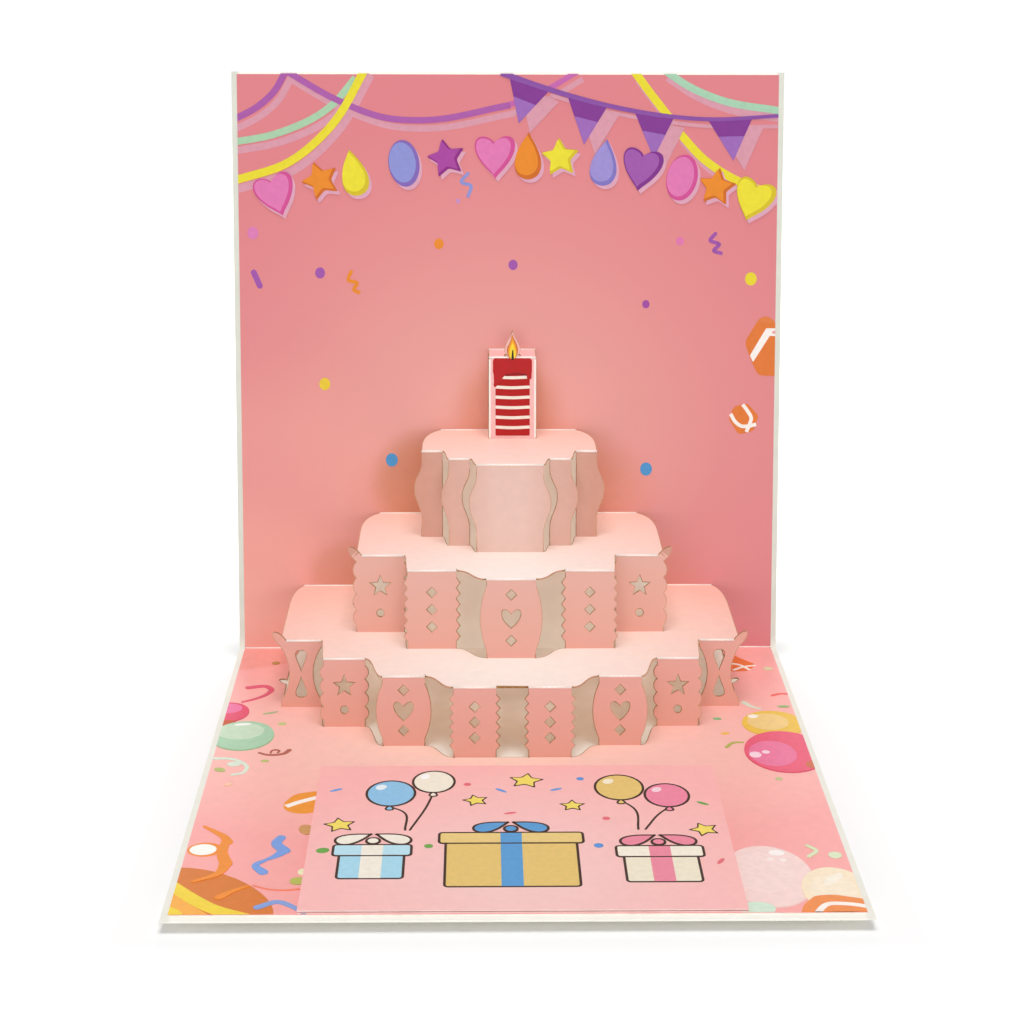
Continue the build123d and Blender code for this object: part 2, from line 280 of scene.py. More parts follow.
sheet_finishes = [
    glowing_print("base_print", [(0.15, "#FDD2C3"), (1, "#F8A9A5")], (-5, 12, 1), (102, 62, 40)),
    back_print_and_shade(),
    # Tier tops deepen away from a light middle towards their ends and back fold: partly print, partly
    # painted shade of the tier above.
    glowing_print(
        "tier_top_print_and_shade", [(0.11, "#FFF7EF"), (0.74, "#FCD4C7"), (1, "#FAC2B2")], (0, 18, 38), (81, 84, 81)
    ),
    faded_print("lower_post_print", "#DE9A88", "#E2A498", 1, 18),
    faded_print("middle_post_print", "#E1A090", "#E1AD9F", 18, 38),
    # The strips grow darker away from the middle one: painted shade.
    glowing_print("strip_print_and_shade", [(0.15, "#E4BFB2"), (1, "#CD9582")], (0, 60, 50), (23, 900, 900)),
    plain_paper("candle_print", "#F4BDB9", "#F0B5B1"),
    plain_paper("bare_back", "#FFF8ED", "#FBF1E2", roughness=0.75),
    plain_paper("laser_cut", "#B58F66", "#97714A", roughness=0.8, mottle=900),
    plain_paper("blade_cut", "#F6F2EA", "#ECE6DA", roughness=0.75),
]
print(len(sheet_finishes), "finishes on the sheet")

# %% [markdown]
# ## The printed sheet
# The CAD mesh is loose triangles, so a copy is merged first. After that a face's direction says what it is:
# a printed level face, a printed leaning face, a bare back or a cut. The print could be painted by height
# alone, but then a tier top and the head of a post, which meet at one height, would share a colour.

# %% Copy the sheet and sort its faces
BASE_BELOW = 1
ON_BACK_WITHIN = 0.05
MIDDLE_POSTS_FROM = 17.6
STRIPS_FROM = 38
TIER_3_TOP = 61.0
CANDLE_TOP_FROM = 70
SIDE_TRIM = 73
FRONT_TRIM = -76
TOP_TRIM = 157
SAME_WAY = 0.995
PARALLEL = 0.9995


def merged_copy(node):
    """bmesh of a CAD node with its loose triangles merged."""
    bm = bmesh.new()
    bm.from_mesh(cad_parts[node].data)
    bmesh.ops.remove_doubles(bm, verts=bm.verts, dist=0.001 * MM)
    bm.normal_update()
    for face in bm.faces:
        face.smooth = False
    return bm


def finished_piece(name, bm, materials, stands_for=None):
    """Object from a bmesh, riding on the card."""
    mesh = bpy.data.meshes.new(name)
    bm.to_mesh(mesh)
    bm.free()
    for material in materials:
        mesh.materials.append(material)
    piece = new_object(name, mesh)
    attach(piece, "root")
    if stands_for:
        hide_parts(stands_for)
    return piece


def is_level(face):
    return face.normal.z > SAME_WAY


def is_leaning(face):
    return face.normal.dot(FACING) > PARALLEL


def sheet_finish(face):
    """Name of the finish that a face of the sheet has."""
    centre = face.calc_center_median()
    up_back = (centre - print_fold).dot(UP_BACK) / MM
    in_front = (centre - print_fold).dot(FACING) / MM
    if is_level(face):
        if centre.z < print_fold.z + BASE_BELOW * MM:
            return "base_print"
        return "candle_print" if centre.z > CANDLE_TOP_FROM * MM else "tier_top_print_and_shade"
    if is_leaning(face):
        if in_front < ON_BACK_WITHIN:
            return "back_print_and_shade"
        storey = (centre.z - print_fold.z) / MM / cos(lean)
        if storey > TIER_3_TOP:
            return "candle_print"
        if storey > STRIPS_FROM:
            return "strip_print_and_shade"
        return "middle_post_print" if storey > MIDDLE_POSTS_FROM else "lower_post_print"
    if face.normal.z < -SAME_WAY or face.normal.dot(FACING) < -SAME_WAY:
        return "bare_back"
    outside = abs(centre.x) > SIDE_TRIM * MM or centre.y < FRONT_TRIM * MM or up_back > TOP_TRIM
    return "blade_cut" if outside else "laser_cut"


sheet = merged_copy("popup_sheet")
finish_names = [finish.name for finish in sheet_finishes]
for face in sheet.faces:
    face.material_index = finish_names.index(sheet_finish(face))
counts = {n: sum(f.material_index == i for f in sheet.faces) for i, n in enumerate(finish_names)}
finished_piece("printed_sheet", sheet, sheet_finishes, stands_for="popup_sheet")
print("faces by finish:", counts)

# %% [markdown]
# ## Fold lines
# Where coated card is folded outwards, the fold swells to a fine ridge and its coating cracks to a light
# line. The edges where a tier top turns down into a post are found on a copy of the sheet, and each gets a
# slim round bead that sits in the corner. The folds at the foot of the back panel crack in the same way, so
# a finer bead lies in each. A bevel of the sheet itself would pull at its long thin triangles.

# %% Lay a bead along each cracked fold
BEAD = 0.30 * MM
CREASE = 0.22 * MM
SUNK = 0.72
BEAD_SIDES = 12
cracked_fold = plain_paper("cracked_fold", "#FFF6F0", "#FCEAE0", roughness=0.4, mottle=1500)
sheet = merged_copy("popup_sheet")
beads = bmesh.new()


def lay_bead(edge, radius, sunk):
    """A slim round rod along a fold, sunk into its corner by a share of the radius."""
    middle = (edge.verts[0].co + edge.verts[1].co) / 2
    seat = middle - (Vector((0, 0, 1)) + FACING).normalized() * radius * sunk
    bmesh.ops.create_cone(
        beads, cap_ends=True, segments=BEAD_SIDES, radius1=radius, radius2=radius, depth=edge.calc_length(),
        matrix=Matrix.Translation(seat) @ Matrix.Rotation(pi / 2, 4, "Y"),
    )


for edge in sheet.edges:
    kinds = sorted((is_level(face), is_leaning(face)) for face in edge.link_faces)
    if kinds != [(False, True), (True, False)]:
        continue
    if edge.is_convex:
        lay_bead(edge, BEAD, SUNK)
    elif any(sheet_finish(face) == "back_print_and_shade" for face in edge.link_faces):
        lay_bead(edge, CREASE, 0)
print(len(beads.faces) // (BEAD_SIDES + 2), "fold beads")
for face in beads.faces:
    face.smooth = len(face.verts) == 4
finished_piece("fold_lines", beads, [cracked_fold])

# %% [markdown]
# ## Browned rims of the laser cuts
# The laser scorches a hair's breadth of the paper beside each cut. That rim is the wall of the cut itself,
# copied off the sheet, set a hundredth of a millimetre proud and thickened into the paper with a Solidify
# modifier. Walls that face the middle of the card are a darker brown than those that face outwards.

# %% Copy the walls of the cuts and thicken them
RIM = 0.17 * MM
PROUD = 0.012 * MM
FRONTAL = 0.3
rim_finishes = [
    plain_paper("dark_scorch", "#A9804F", "#8A6238", roughness=0.85, mottle=1200),
    plain_paper("light_scorch", "#D0A283", "#C19072", roughness=0.85, mottle=1200),
]
walls = [face for face in sheet.faces if sheet_finish(face) == "laser_cut"]
for face in walls:
    inward = face.normal.x * face.calc_center_median().x < 0 or abs(face.normal.x) < FRONTAL
    face.material_index = 0 if inward else 1
for vert in {v for face in walls for v in face.verts}:
    off_paper = sum((f.normal for f in vert.link_faces if sheet_finish(f) != "laser_cut"), Vector())
    if off_paper.length > 0.1:
        vert.co += off_paper.normalized() * PROUD
kept = set(walls)
bmesh.ops.delete(sheet, geom=[face for face in sheet.faces if face not in kept], context="FACES")
print(len(sheet.faces), "wall faces browned")
browned_rims = finished_piece("browned_rims", sheet, rim_finishes)
thicken = browned_rims.modifiers.new("rim", "SOLIDIFY")
thicken.thickness = RIM
thicken.offset = -0.88
thicken.use_even_offset = True

# %% [markdown]
# ## Cover board and note card
# The cover keeps its CAD shape, because it is a plain folded board: it only needs a cream uncoated stock.
# The narrow bare strips beside the sheet on the upright panel are greyer: painted shade, as they take less
# light.
# The note card is folded from one piece of pink-printed paper. Its printed outside, white inside and cut
# edges are told apart by direction, as on the sheet.

# %% Finish the cover and the note card
BOARD_MOTTLE = 200
RIM_SHADE_FROM, RIM_SHADE_TO = 72.6, 73.6
UPRIGHT_FROM, UPRIGHT_TO = -2.5, 4.0
board = Finish("cream_board_and_rim_shade", 0.7, tooth=0.2)
clean = board.wavering("#F7F4EA", "#FBF8EF", BOARD_MOTTLE, detail=4, spread=0.15)
# Painted shade: the bare side strips of the upright panel get a greyer tone.
painted_rim_shade = board.wavering("#D9DACF", "#DDDED3", BOARD_MOTTLE, detail=4, spread=0.15)
shaded_rims = clean
for side in (-1, 1):
    shaded_rims = board.blend(shaded_rims, painted_rim_shade, board.along("X", side * RIM_SHADE_FROM, side * RIM_SHADE_TO))
upright = board.along("Z", UPRIGHT_FROM, UPRIGHT_TO)
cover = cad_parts["cover"]
cover.data.materials.clear()
cover.data.materials.append(board.paint(board.blend(clean, shaded_rims, upright)))

NOTE_PAPER = 0.3 * MM
note_lift = note_high.z - note_low.z - 2 * NOTE_PAPER
note_run = note_high.y - note_low.y - NOTE_PAPER
note_tilt = atan2(note_lift, note_run)
NOTE_FACING = Vector((0, sin(note_tilt), cos(note_tilt)))
PRINTED, INSIDE, CUT = range(3)
note_finishes = [
    glowing_print("note_print", [(0.15, "#F9CDC9"), (1, "#FCB9B6")], (1, -62, 2), (60, 62, 60)),
    plain_paper("note_inside", "#F7F3EC", "#F0EBE2", roughness=0.7),
    plain_paper("note_edge", "#F3D9D6", "#EACBC8", roughness=0.75),
]
note = merged_copy("note_card")
for face in note.faces:
    if face.normal.dot(NOTE_FACING) > 0.999 or (abs(face.normal.x) < 0.1 and face.normal.y > 0.2):
        face.material_index = PRINTED
    else:
        face.material_index = INSIDE if abs(face.normal.z) > 0.9 else CUT
finished_piece("folded_note", note, note_finishes, stands_for="note_card")
print("note card lifts", round(note_lift / MM, 2), "mm at its front edge")

# %% [markdown]
# ## Layers of ink
# Print is thin, but it is a layer: each motif here is a flat shape raised by two hundredths of a millimetre
# a level, so it takes light like the sheet and stays sharp from any angle. A motif starts as a circle or
# a few corners, an operator shapes it, planes trim it at the edge of the paper, and an extrude gives the
# ink its thickness. Motifs that overlap lie on different levels.

# %% Helpers that draw flat motifs in millimetres
def disc(x, y, width, height=None, turn=0, corners=36):
    """Round or oval spot."""
    place = Matrix.Translation((x, y, 0)) @ Matrix.Rotation(radians(turn), 4, "Z")
    stretch = Matrix.Diagonal((width, height or width, 1, 1))
    bm = bmesh.new()
    bmesh.ops.create_circle(bm, cap_ends=True, segments=corners, radius=0.5, matrix=place @ stretch)
    return bm


def soften(bm, offset, segments):
    """Rounds the corners of a flat motif."""
    bmesh.ops.bevel(
        bm, geom=bm.verts, offset=offset, segments=segments, profile=0.5, affect="VERTICES", material=-1,
        clamp_overlap=True,
    )


def placed(bm, x, y, turn, stretch=(1, 1, 1)):
    """A motif stretched, turned about its middle and moved to its place."""
    bmesh.ops.scale(bm, vec=stretch, verts=bm.verts)
    bmesh.ops.rotate(bm, cent=(0, 0, 0), matrix=Matrix.Rotation(radians(turn), 3, "Z"), verts=bm.verts)
    bmesh.ops.translate(bm, vec=(x, y, 0), verts=bm.verts)
    return bm


def star(x, y, size, turn=0):
    """Star: every other corner of a circle is pulled in, and the corners are softened."""
    bm = disc(0, 0, size, corners=10)
    inner = [vert for i, vert in enumerate(bm.verts) if i % 2]
    bmesh.ops.scale(bm, vec=(0.5, 0.5, 1), verts=inner)
    soften(bm, size * 0.05, 3)
    return placed(bm, x, y, turn)


def heart(x, y, size, turn=0):
    """Heart: a circle whose sides are pushed up more than its middle."""
    bm = disc(0, 0, 1, corners=48)
    for vert in bm.verts:
        vert.co.y = vert.co.y * 0.86 + 0.62 * abs(vert.co.x) ** 0.75 - 0.12
    return placed(bm, x, y, turn, (size, size, 1))


def drop(x, y, width, height, turn=0):
    """Drop: a circle that narrows to a point at its top."""
    bm = disc(0, 0, 1, corners=40)
    for vert in bm.verts:
        vert.co.x *= (0.5 - vert.co.y) ** 0.55
    return placed(bm, x, y, turn, (width * 1.15, height, 1))


def patch(corners, rounding=0):
    """Flat patch between a few corners, which a bevel may round."""
    bm = bmesh.new()
    bm.faces.new([bm.verts.new((x, y, 0)) for x, y in corners])
    bmesh.ops.recalc_face_normals(bm, faces=bm.faces)
    if rounding:
        soften(bm, rounding, 5)
    return bm


def block(left, right, bottom, top, rounding=0):
    """Rectangle between two sides, a bottom and a top."""
    return patch([(left, bottom), (right, bottom), (right, top), (left, top)], rounding)


def heading(before, knot, after):
    """Direction of a curve at a knot: the nearer neighbour counts for more."""
    arrive, leave = knot - before, after - knot
    way = arrive * (leave.length / arrive.length) + leave * (arrive.length / leave.length)
    return way / (arrive.length + leave.length)


def smooth_line(knots, steps=9):
    """Points on a smooth curve through the knots."""
    knots = [Vector(k).to_3d() for k in knots]
    ends = [2 * knots[0] - knots[1], *knots, 2 * knots[-1] - knots[-2]]
    line = [knots[0]]
    for before, start, end, after in zip(ends, ends[1:], ends[2:], ends[3:]):
        span = (end - start).length
        first = heading(before, start, end) * span / 3
        second = heading(start, end, after) * span / 3
        line += interpolate_bezier(start, start + first, end - second, end, steps)[1:]
    return line


def ribbon(knots, width, end_width=None):
    """Ribbon: a one-row grid laid along a smooth line, easing from its first width to its last."""
    line = smooth_line(knots)
    last = len(line) - 1
    end_width = width if end_width is None else end_width
    bm = bmesh.new()
    bmesh.ops.create_grid(bm, x_segments=last, y_segments=1, size=0.5)
    for vert in bm.verts:
        i = round((vert.co.x + 0.5) * last)
        along = line[min(i + 1, last)] - line[max(i - 1, 0)]
        side = Vector((-along.y, along.x, 0)).normalized()
        half = (width + (end_width - width) * i / last) / 2
        vert.co = line[i] + side * (half if vert.co.y > 0 else -half)
    return bm


print("motif helpers ready")

# %% [markdown]
# ## A sheet of ink
# Each group of motifs becomes one piece with a slot for each ink, like a plate of a printing press.
# Hundreds of small objects would look the same, but be hard to find.

# %% Helper that prints motifs on one surface
INK_LEVEL = 0.02
INK_DARKER = 0.975
CAP_RISE = 0.25
SPOT_CORNERS = 20
ink_finishes = {}


def ink(code):
    """Coated print ink of one colour, slightly uneven."""
    if code not in ink_finishes:
        darker = "#" + bytes(int(part * INK_DARKER) for part in bytes.fromhex(code[1:])).hex()
        ink_finishes[code] = plain_paper(
            f"ink_{code[1:]}", code, darker, roughness=0.5, mottle=700, tooth=0.06, gloss=0.2
        )
    return ink_finishes[code]


class InkSheet:
    """Motifs printed on one surface, trimmed to a window of the paper: left, right, bottom, top."""

    def __init__(self, name, place, window, slot="printed_sheet"):
        self.name, self.place, self.window, self.slot = name, place, window, slot
        self.bm = bmesh.new()
        self.codes = []

    def ink_number(self, code):
        if code not in self.codes:
            self.codes.append(code)
        return self.codes.index(code)

    def trim(self, motif):
        left, right, bottom, top = self.window
        sides = [((left, 0, 0), (-1, 0, 0)), ((right, 0, 0), (1, 0, 0))]
        sides += [((0, bottom, 0), (0, -1, 0)), ((0, top, 0), (0, 1, 0))]
        for point, outward in sides:
            everything = motif.verts[:] + motif.edges[:] + motif.faces[:]
            bmesh.ops.bisect_plane(
                motif, geom=everything, plane_co=point, plane_no=outward, clear_outer=True
            )

    def add(self, motif, code, level, outline=None, outline_width=0.6):
        """Prints a flat motif, which may have an outline in another ink."""
        for face in motif.faces:
            face.material_index = self.ink_number(code)
        if outline:
            rim = bmesh.ops.inset_region(
                motif, faces=motif.faces[:], thickness=outline_width,
                use_even_offset=True, use_boundary=True,
            )
            for face in rim["faces"]:
                face.material_index = self.ink_number(outline)
        self.trim(motif)
        under = motif.verts[:]
        raised = bmesh.ops.extrude_face_region(motif, geom=motif.faces[:])["geom"]
        top = [element for element in raised if isinstance(element, bmesh.types.BMVert)]
        bmesh.ops.translate(motif, vec=(0, 0, -INK_LEVEL), verts=under)
        bmesh.ops.translate(motif, vec=(0, 0, level * INK_LEVEL), verts=top)
        bmesh.ops.recalc_face_normals(motif, faces=motif.faces)
        layer = bpy.data.meshes.new("ink_layer")
        motif.to_mesh(layer)
        motif.free()
        self.bm.from_mesh(layer)
        bpy.data.meshes.remove(layer)

    def add_rows(self, rows):
        """Prints rows of a motif, its ink and its level."""
        for motif, code, level in rows:
            self.add(motif, code, level)

    def spots(self, rows, level):
        """Prints rows of an oval spot: its place, width, height, turn and ink."""
        for x, y, width, height, turn, code in rows:
            self.add(disc(x, y, width, height, turn, SPOT_CORNERS), code, level)

    def stroke(self, knots, width, end_width, code, level):
        """A ribbon with round ends."""
        self.add(ribbon(knots, width, end_width), code, level)
        self.add(disc(*knots[0], width), code, level + CAP_RISE)
        self.add(disc(*knots[-1], end_width), code, level + CAP_RISE)

    def finish(self):
        self.bm.transform(self.place)
        print(self.name, "has", len(self.bm.faces), "faces in", len(self.codes), "inks")
        finished_piece(self.name, self.bm, [ink(code) for code in self.codes])


print("ink levels are", INK_LEVEL, "mm apart")

# %% [markdown]
# ## Streamers and bunting on the back panel
# The back print hangs thin streamers from the top edge and a string of pennants from the middle to the
# right. Each throws a printed mauve shadow: the same shape again, moved a few millimetres down to the
# right on a lower level.

# %% Print the streamers
SHADOW = "#D698A8"
SHADOW_RIGHT, SHADOW_DOWN = 1.2, 2.2


def upright_place(height, depth, x=0):
    """Places flat art on a leaning surface that stands at a depth in front of the back panel."""
    origin = print_fold + UP_BACK * height * MM + Vector((x * MM, -depth * MM, 0))
    turn = Matrix((Vector((1, 0, 0)), UP_BACK, FACING)).transposed().to_4x4()
    return Matrix.Translation(origin) @ turn @ Matrix.Scale(MM, 4)


BACK = (upright_place(0, 0), (-73.5, 73.5, 0.5, 157.75))
streamers = InkSheet("back_streamers", *BACK)


def streamer(knots, width, code, level):
    """A ribbon with its printed shadow, which lies under all the ribbons."""
    shadow_knots = [(x + SHADOW_RIGHT, y - SHADOW_DOWN) for x, y in knots]
    streamers.add(ribbon(shadow_knots, width), SHADOW, level / 8)
    streamers.add(ribbon(knots, width), code, level)


streamer([(-59.6, 159.5), (-63.8, 152.5), (-68.4, 148.6), (-75, 145.2)], 1.8, "#A75AA5", 2)
streamer([(-60.2, 158.4), (-46.7, 150.8), (-33.1, 145.9), (-23, 145.3), (0.5, 149.4)], 1.7, "#A95CA6", 4)
streamer([(-2.3, 148.6), (8.6, 152.6), (19, 158.5)], 1.5, "#C266AC", 2)
streamer([(-75, 139.3), (-63.5, 141.5), (-47.7, 149.4), (-41.4, 156.6)], 1.9, "#A7CDA9", 3)
streamer([(-75, 128.9), (-59.5, 134.1), (-47.8, 144.1), (-38.4, 159.6)], 2.2, "#E6D834", 5)
streamer([(34.2, 158.4), (38.6, 152.6), (43.8, 146.1)], 2.2, "#E6D834", 3)
streamer([(46.2, 142.4), (53.6, 134.7), (63.3, 128.8), (75, 124.9)], 2.2, "#E6D834", 3)
streamer([(42, 159), (49.3, 154.3), (57.5, 150.9), (75, 147.8)], 2, "#A5CEB0", 2)
streamers.finish()

# %% Print the bunting
bunting = InkSheet("back_bunting", *BACK)
BAND_SHARE = 0.42
PENNANT_SHIFT = Vector((3, -2.6))
PENNANTS = [
    ((0.3, 157), (10.8, 152.9), (2.8, 144.5)),
    ((16, 152), (27, 149.2), (20.6, 138.8)),
    ((34.2, 147.9), (45, 146), (39.6, 135.2)),
    ((54.2, 145.7), (66.4, 146), (61.4, 134.5)),
]
STRING_SHADOW = [(11.4, 152), (28.1, 147.4), (45.6, 144.6), (54, 143.8), (75, 143.8)]
STRING = [(-2, 158), (6.1, 155.2), (16.4, 152), (33.9, 147.9), (53.4, 145.7), (75, 146.7)]
for pennant in PENNANTS:
    corners = [Vector(corner) for corner in pennant]
    left, far, tip = corners
    band = [left, far, far.lerp(tip, BAND_SHARE), left.lerp(tip, BAND_SHARE)]
    bunting.add(patch([corner + PENNANT_SHIFT for corner in corners]), SHADOW, 6)
    bunting.add(patch(corners), "#9A68B5", 7)
    bunting.add(patch(band), "#80388F", 8)
bunting.add(ribbon(STRING_SHADOW, 1), SHADOW, 5.5)
bunting.add(ribbon(STRING, 1.6, 0.9), "#8850A0", 9)
bunting.finish()

# %% [markdown]
# ## The garland
# Party shapes hang in an arch across the panel: hearts, stars, drops and discs in the card's bright inks,
# each with a pale shadow, a darker side and a lighter face, as cut foil would have. The arch is one
# formula, so each shape needs only a place across.

# %% Print the garland
ARCH_TOP = 135.8
ARCH_FALL = 0.0026
LEAN_OUT = 0.28
STAR_TURN = 8
FOIL_SHADOW = "#DBA4B8"
OVAL = (8.4, 12.6)
ROUND = (11,)
PINK = ("#DD79B1", "#CF4F92")
ORANGE = ("#E68A2A", "#CC6A22")
YELLOW = ("#E8DB36", "#D3BC2B")
garland = InkSheet("back_garland", *BACK)
GARLAND = [
    (-63.3, heart, PINK), (-51, star, ORANGE), (-42, drop, YELLOW),
    (-28.4, disc, ("#8C92D0", "#8166B4")), (-16.8, star, ("#A5459C", "#8A2C80")), (-3.6, heart, PINK),
    (5.4, drop, ORANGE), (14.2, star, YELLOW), (26.1, drop, ("#9B8FD0", "#7F74BE")),
    (36.4, heart, ("#9C58A8", "#7E3188")), (47.4, disc, PINK), (57, star, ORANGE),
    (67, heart, YELLOW),
]
for x, shape, (code, side) in GARLAND:
    y = ARCH_TOP - ARCH_FALL * x * x
    size = OVAL if shape in (disc, drop) else ROUND
    turn = (STAR_TURN if shape is star else 0) - x * LEAN_OUT
    smaller = [length * 0.86 for length in size]
    garland.add(shape(x + 0.7, y - 0.9, *size, turn=turn), FOIL_SHADOW, 10)
    garland.add(shape(x, y, *size, turn=turn), side, 11)
    garland.add(shape(x - 0.45, y + 0.25, *smaller, turn=turn), code, 12)
garland.finish()

# %% [markdown]
# ## Confetti on the back panel
# Dots, a bar and squiggles are printed below the garland. A scatter by chance would be quicker, but each
# has its own place on the card, so each is a row.

# %% Print the confetti on the back
confetti = InkSheet("back_confetti", *BACK)
for x, y, size, code in [
    (-19, 112, 2.6, "#E58A2C"), (1.3, 106.3, 2.5, "#9D55A8"), (-51.5, 104.1, 2.7, "#9D55A8"),
    (37.8, 95.6, 2, "#9D4BA0"), (-13.7, 123.6, 1.2, "#C98FC4"), (47, 112.8, 2.1, "#DC77AE"),
    (66.6, 102.5, 3.2, "#E5D434"), (-50.5, 73.7, 3, "#E8C838"), (-32.2, 52.7, 3.3, "#4C94CC"),
    (38.2, 50.1, 3.3, "#4C94CC"), (-69.7, 114.9, 3, "#D87DB4"),
]:
    confetti.add(disc(x, y, size, size * 1.12), code, 2)
for knots, width, code in [
    ([(-43, 104.4), (-43.8, 102.2), (-41.4, 101.3), (-42.3, 99.5), (-41, 98.8)], 1, "#E58A2C"),
    ([(-11, 131), (-12.8, 128.7), (-10.2, 127.7), (-11, 124.9)], 0.9, "#8C92D0"),
    ([(56.7, 114.8), (55.3, 113), (57.8, 111.9), (56.3, 110.2), (58.3, 109.5)], 1, "#9D55A8"),
    ([(-69.6, 104.2), (-68, 100.6)], 1.6, "#9D55A8"),
]:
    confetti.stroke(knots, width, width, code, 2)
confetti.finish()

# %% [markdown]
# ## Gifts at the edge of the back panel
# Two wrapped gifts in orange are printed at the right edge, one half trimmed away by the edge of the sheet.
# They are rounded patches with white ribbon bands over them.

# %% Print the gifts on the back
gifts = InkSheet("back_gifts", *BACK)
TOP_GIFT = [(65.1, 85.2), (68.2, 90.4), (77, 90.4), (77, 75.8), (69, 76), (67.2, 79.5)]
TOP_BAND = [(66.6, 81.5), (67.5, 79.7), (72, 86.9), (77, 86.8), (77, 89), (71, 89)]
LOW_GIFT = [(60.9, 64), (62.4, 67.4), (66, 68.4), (69.3, 64.8), (67.8, 60.6), (63.8, 59.7)]
gifts.add_rows([
    (disc(70.8, 88.6, 6, 7.2), "#DE7E42", 2),
    (patch(TOP_GIFT, 1.2), "#DE7836", 3),
    (patch(TOP_BAND, 0.2), "#F7F0EA", 4),
    (disc(74.2, 87.9, 3.2, 1), "#E9A0A0", 5),
    (patch(LOW_GIFT, 0.8), "#E07A36", 2),
    (ribbon([(61.5, 65.4), (62.9, 63.1), (64.6, 62), (66.4, 62), (68.6, 62.5)], 1), "#F8EFE8", 3),
    (ribbon([(64.8, 68), (66.3, 66), (67.2, 64.3), (66.8, 62.6), (65.9, 60.4)], 1), "#F8EFE8", 4),
])
gifts.finish()

# %% [markdown]
# ## Balloons on the base
# The base print has balloons along both sides. A printed balloon is an oval over a darker rim, with a
# lighter oval inside it and a few light spots. Places are measured from the fold, so y is negative.

# %% Print the balloons
BASE = (Matrix.Translation(print_fold) @ Matrix.Scale(MM, 4), (-73.5, 73.5, -156, -1))
balloons = InkSheet("base_balloons", *BASE)


def balloon(x, y, width, length, inks, level, middle):
    """A rim, an oval and its lighter middle, which has a place and a size of its own."""
    rim, code, light = inks
    balloons.add(disc(x, y - 0.6, width * 1.01, length), rim, level)
    balloons.add(disc(x, y, width, length), code, level + 1)
    balloons.add(disc(*middle), light, level + 2)


balloon(-73.4, -46.2, 11.6, 13, ("#C93E58", "#E4516F", "#EE79A8"), 0.5, (-73.4, -43.8, 7.6, 6.6))
balloon(-67.6, -61.5, 15.6, 18, ("#93BE90", "#ABD4B3", "#C8E2C6"), 4, (-68.6, -58.9, 12.2, 10.6))
balloon(67, -54.7, 15.8, 16.6, ("#E3B23A", "#EFC44C", "#F2D088"), 0.5, (65.8, -53.6, 10.6, 10.8))
balloon(67.6, -72.4, 20, 25, ("#DA4664", "#EA5F7A", "#EC7AA0"), 4, (64.4, -73.8, 11.8, 15.4))
balloon(54.8, -139.2, 19.6, 28.8, ("#F2C8C2", "#F9DAD4", "#F9DCD6"), 0.5, (54, -137.6, 14, 19))
balloon(68.5, -146, 14.6, 21, ("#F6DDB6", "#FBE8CA", "#FBEBD2"), 4, (68, -146.4, 10, 14))
balloons.add(disc(-72.6, -53.4, 5, 3.6), "#C8542C", 3.5)
balloons.spots([
    (-68.4, -54.6, 4.4, 1.5, 12, "#F8FCF4"), (62.4, -50.2, 2.8, 2.2, 20, "#FDF6E8"),
    (60, -74.6, 3, 3.6, 0, "#FBD9E4"), (62.8, -73, 2, 2, 0, "#FBD9E4"),
    (58, -128.4, 3.6, 2.8, 0, "#FEF6F2"), (56.2, -131.4, 1.6, 1.6, 0, "#FDEEE8"),
    (59, -132, 1.6, 1.6, 0, "#FDEEE8"), (68.6, -141.2, 2.6, 7, -40, "#FCF2E0"),
], 7)
balloons.finish()

# %% [markdown]
# ## Ribbons on the base
# Curls of ribbon lie between the balloons, and the front left corner cuts off a striped balloon. A ribbon
# that swells and thins more than once is drawn as a few strokes, each from one width to the next.

